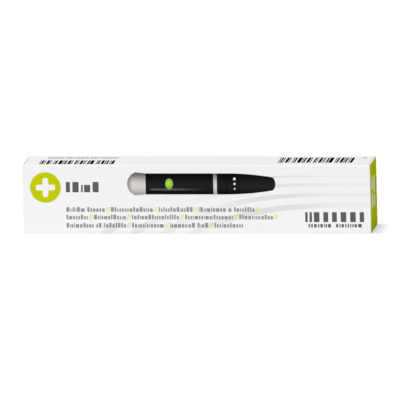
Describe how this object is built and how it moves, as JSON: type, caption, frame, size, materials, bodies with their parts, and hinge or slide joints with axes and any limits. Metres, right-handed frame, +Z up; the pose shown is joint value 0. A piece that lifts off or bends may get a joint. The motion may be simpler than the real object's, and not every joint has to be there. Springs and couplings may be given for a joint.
{
  "type": "folding carton",
  "caption": "Slim white folding carton with green ends: a creased and glued sheet of board with a hinged tuck-in closure at each end and plain printed fields.",
  "frame": {"origin": "middle of the bottom face, on the surface that the carton rests on", "axes": "+X along the length towards the right end, +Y from the front to the hinged back, +Z up"},
  "size_m": [0.136, 0.021, 0.027],
  "materials": {
    "white_board": "coated white folding board, satin varnish outside, uncoated inside",
    "green_ink": "solid lime green print under satin varnish",
    "leaf_green_ink": "bright green print under satin varnish",
    "dark_grey_ink": "dark grey print under satin varnish",
    "mid_grey_ink": "mid grey print under satin varnish",
    "silver_grey_ink": "grey half-tone print of a metal part",
    "black_ink": "black print under satin varnish"
  },
  "bodies": {
    "carton": {"folded_board": "white_board", "badge_field": "green_ink", "title_bars": "dark_grey_ink", "corner_bars": "dark_grey_ink", "text_bars": "mid_grey_ink", "tick_marks": "green_ink", "picture_metal": "silver_grey_ink", "picture_body": "black_ink", "picture_button": "leaf_green_ink", "left_code_bars": "black_ink", "right_code_bars": "black_ink", "top_text_bars": "mid_grey_ink"},
    "right_flap": {"right_closure": "white_board", "right_end_field": "green_ink"},
    "left_flap": {"left_closure": "white_board", "left_end_field": "green_ink"}
  },
  "joints": [
    {"name": "right_closure_hinge", "type": "hinge", "parent": "carton", "child": "right_flap", "pos_m": [0.06778, 0.01027, 0.0135], "axis": [0, 0, 1], "range_deg": [0, 135]},
    {"name": "left_closure_hinge", "type": "hinge", "parent": "carton", "child": "left_flap", "pos_m": [-0.06778, 0.01027, 0.0135], "axis": [0, 0, -1], "range_deg": [0, 135]}
  ]
}
